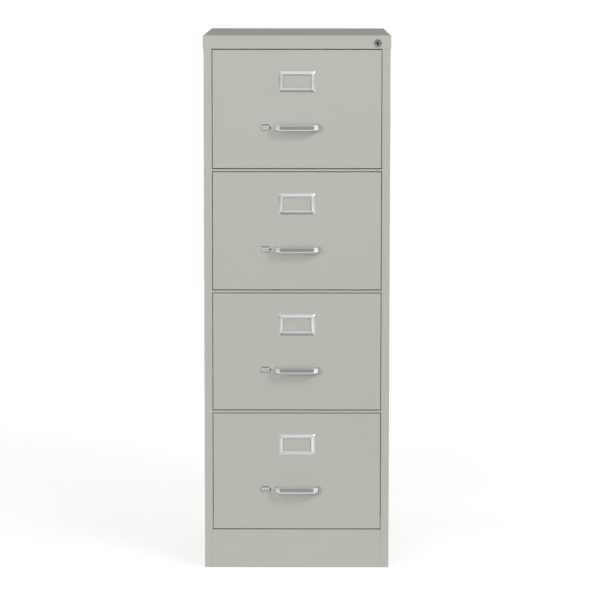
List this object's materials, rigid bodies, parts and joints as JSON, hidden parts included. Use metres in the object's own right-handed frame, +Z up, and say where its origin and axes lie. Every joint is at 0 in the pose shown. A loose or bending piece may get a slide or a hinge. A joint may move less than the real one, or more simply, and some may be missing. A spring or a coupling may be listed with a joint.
{
  "type": "vertical filing cabinet",
  "caption": "Upright sheet-steel filing cabinet with full-depth drawers on telescopic slides, bow pulls, label holders, thumb latches and a gang lock.",
  "frame": {"origin": "on the floor, in the middle of the closed cabinet's bounding box, pulls included", "axes": "+Z up, drawers open towards -Y, +X to the right of someone facing the drawers"},
  "size_m": [0.46, 0.7096, 1.321],
  "materials": {
    "grey_enamel": "baked enamel on sheet steel, smooth with a faint orange peel, low gloss",
    "zinc_plated_steel": "bright zinc plate on rolled steel, light drawing marks",
    "bright_chrome": "polished chrome plate"
  },
  "bodies": {
    "case": {"left_side_panel": "grey_enamel", "right_side_panel": "grey_enamel", "back_panel": "grey_enamel", "top_cap": "grey_enamel", "header_rail": "grey_enamel", "toe_panel": "grey_enamel", "divider_rail_1": "grey_enamel", "divider_rail_2": "grey_enamel", "divider_rail_3": "grey_enamel", "left_front_upright": "grey_enamel", "left_rear_upright": "grey_enamel", "right_front_upright": "grey_enamel", "right_rear_upright": "grey_enamel", "lock_housing": "bright_chrome", "left_slide_channel_1": "zinc_plated_steel", "right_slide_channel_1": "zinc_plated_steel", "left_slide_channel_2": "zinc_plated_steel", "right_slide_channel_2": "zinc_plated_steel", "left_slide_channel_3": "zinc_plated_steel", "right_slide_channel_3": "zinc_plated_steel", "left_slide_channel_4": "zinc_plated_steel", "right_slide_channel_4": "zinc_plated_steel"},
    "drawer_1": {"drawer_front_1": "grey_enamel", "drawer_tub_1": "grey_enamel", "drawer_pull_1": "bright_chrome", "label_holder_1": "bright_chrome", "lock_catch_1": "zinc_plated_steel"},
    "cradle_1": {"slide_cradle_1": "zinc_plated_steel"},
    "latch_1": {"thumb_latch_1": "bright_chrome"},
    "follower_1": {"file_follower_1": "grey_enamel"},
    "drawer_2": {"drawer_front_2": "grey_enamel", "drawer_tub_2": "grey_enamel", "drawer_pull_2": "bright_chrome", "label_holder_2": "bright_chrome", "lock_catch_2": "zinc_plated_steel"},
    "cradle_2": {"slide_cradle_2": "zinc_plated_steel"},
    "latch_2": {"thumb_latch_2": "bright_chrome"},
    "follower_2": {"file_follower_2": "grey_enamel"},
    "drawer_3": {"drawer_front_3": "grey_enamel", "drawer_tub_3": "grey_enamel", "drawer_pull_3": "bright_chrome", "label_holder_3": "bright_chrome", "lock_catch_3": "zinc_plated_steel"},
    "cradle_3": {"slide_cradle_3": "zinc_plated_steel"},
    "latch_3": {"thumb_latch_3": "bright_chrome"},
    "follower_3": {"file_follower_3": "grey_enamel"},
    "drawer_4": {"drawer_front_4": "grey_enamel", "drawer_tub_4": "grey_enamel", "drawer_pull_4": "bright_chrome", "label_holder_4": "bright_chrome", "lock_catch_4": "zinc_plated_steel"},
    "cradle_4": {"slide_cradle_4": "zinc_plated_steel"},
    "latch_4": {"thumb_latch_4": "bright_chrome"},
    "follower_4": {"file_follower_4": "grey_enamel"},
    "lock_bar": {"lock_bar": "zinc_plated_steel", "lock_lug_1": "zinc_plated_steel", "lock_lug_2": "zinc_plated_steel", "lock_lug_3": "zinc_plated_steel", "lock_lug_4": "zinc_plated_steel"},
    "lock_plug": {"lock_plug": "bright_chrome"}
  },
  "joints": [
    {"name": "drawer_1_slide", "type": "slide", "parent": "case", "child": "drawer_1", "axis": [0, -1, 0], "range_m": [0, 0.59]},
    {"name": "cradle_1_slide", "type": "slide", "parent": "case", "child": "cradle_1", "axis": [0, -1, 0], "range_m": [0, 0.295]},
    {"name": "latch_1_slide", "type": "slide", "parent": "drawer_1", "child": "latch_1", "axis": [1, 0, 0], "range_m": [0, 0.006], "stiffness_N_per_m": 300, "springref_m": -0.004},
    {"name": "follower_1_slide", "type": "slide", "parent": "drawer_1", "child": "follower_1", "axis": [0, -1, 0], "range_m": [0, 0.52]},
    {"name": "drawer_2_slide", "type": "slide", "parent": "case", "child": "drawer_2", "axis": [0, -1, 0], "range_m": [0, 0.59]},
    {"name": "cradle_2_slide", "type": "slide", "parent": "case", "child": "cradle_2", "axis": [0, -1, 0], "range_m": [0, 0.295]},
    {"name": "latch_2_slide", "type": "slide", "parent": "drawer_2", "child": "latch_2", "axis": [1, 0, 0], "range_m": [0, 0.006], "stiffness_N_per_m": 300, "springref_m": -0.004},
    {"name": "follower_2_slide", "type": "slide", "parent": "drawer_2", "child": "follower_2", "axis": [0, -1, 0], "range_m": [0, 0.52]},
    {"name": "drawer_3_slide", "type": "slide", "parent": "case", "child": "drawer_3", "axis": [0, -1, 0], "range_m": [0, 0.59]},
    {"name": "cradle_3_slide", "type": "slide", "parent": "case", "child": "cradle_3", "axis": [0, -1, 0], "range_m": [0, 0.295]},
    {"name": "latch_3_slide", "type": "slide", "parent": "drawer_3", "child": "latch_3", "axis": [1, 0, 0], "range_m": [0, 0.006], "stiffness_N_per_m": 300, "springref_m": -0.004},
    {"name": "follower_3_slide", "type": "slide", "parent": "drawer_3", "child": "follower_3", "axis": [0, -1, 0], "range_m": [0, 0.52]},
    {"name": "drawer_4_slide", "type": "slide", "parent": "case", "child": "drawer_4", "axis": [0, -1, 0], "range_m": [0, 0.59]},
    {"name": "cradle_4_slide", "type": "slide", "parent": "case", "child": "cradle_4", "axis": [0, -1, 0], "range_m": [0, 0.295]},
    {"name": "latch_4_slide", "type": "slide", "parent": "drawer_4", "child": "latch_4", "axis": [1, 0, 0], "range_m": [0, 0.006], "stiffness_N_per_m": 300, "springref_m": -0.004},
    {"name": "follower_4_slide", "type": "slide", "parent": "drawer_4", "child": "follower_4", "axis": [0, -1, 0], "range_m": [0, 0.52]},
    {"name": "lock_bar_lift", "type": "slide", "parent": "case", "child": "lock_bar", "axis": [0, 0, 1], "range_m": [0, 0.02]},
    {"name": "lock_plug_turn", "type": "hinge", "parent": "case", "child": "lock_plug", "pos_m": [0.197, -0.31975, 1.302], "axis": [0, -1, 0], "range_deg": [0, 60]}
  ],
  "couplings": [
    {"joint": "cradle_1_slide", "follows": "drawer_1_slide", "ratio": 0.5},
    {"joint": "cradle_2_slide", "follows": "drawer_2_slide", "ratio": 0.5},
    {"joint": "cradle_3_slide", "follows": "drawer_3_slide", "ratio": 0.5},
    {"joint": "cradle_4_slide", "follows": "drawer_4_slide", "ratio": 0.5},
    {"joint": "lock_plug_turn", "follows": "lock_bar_lift", "rad_per_m": 52.35}
  ]
}
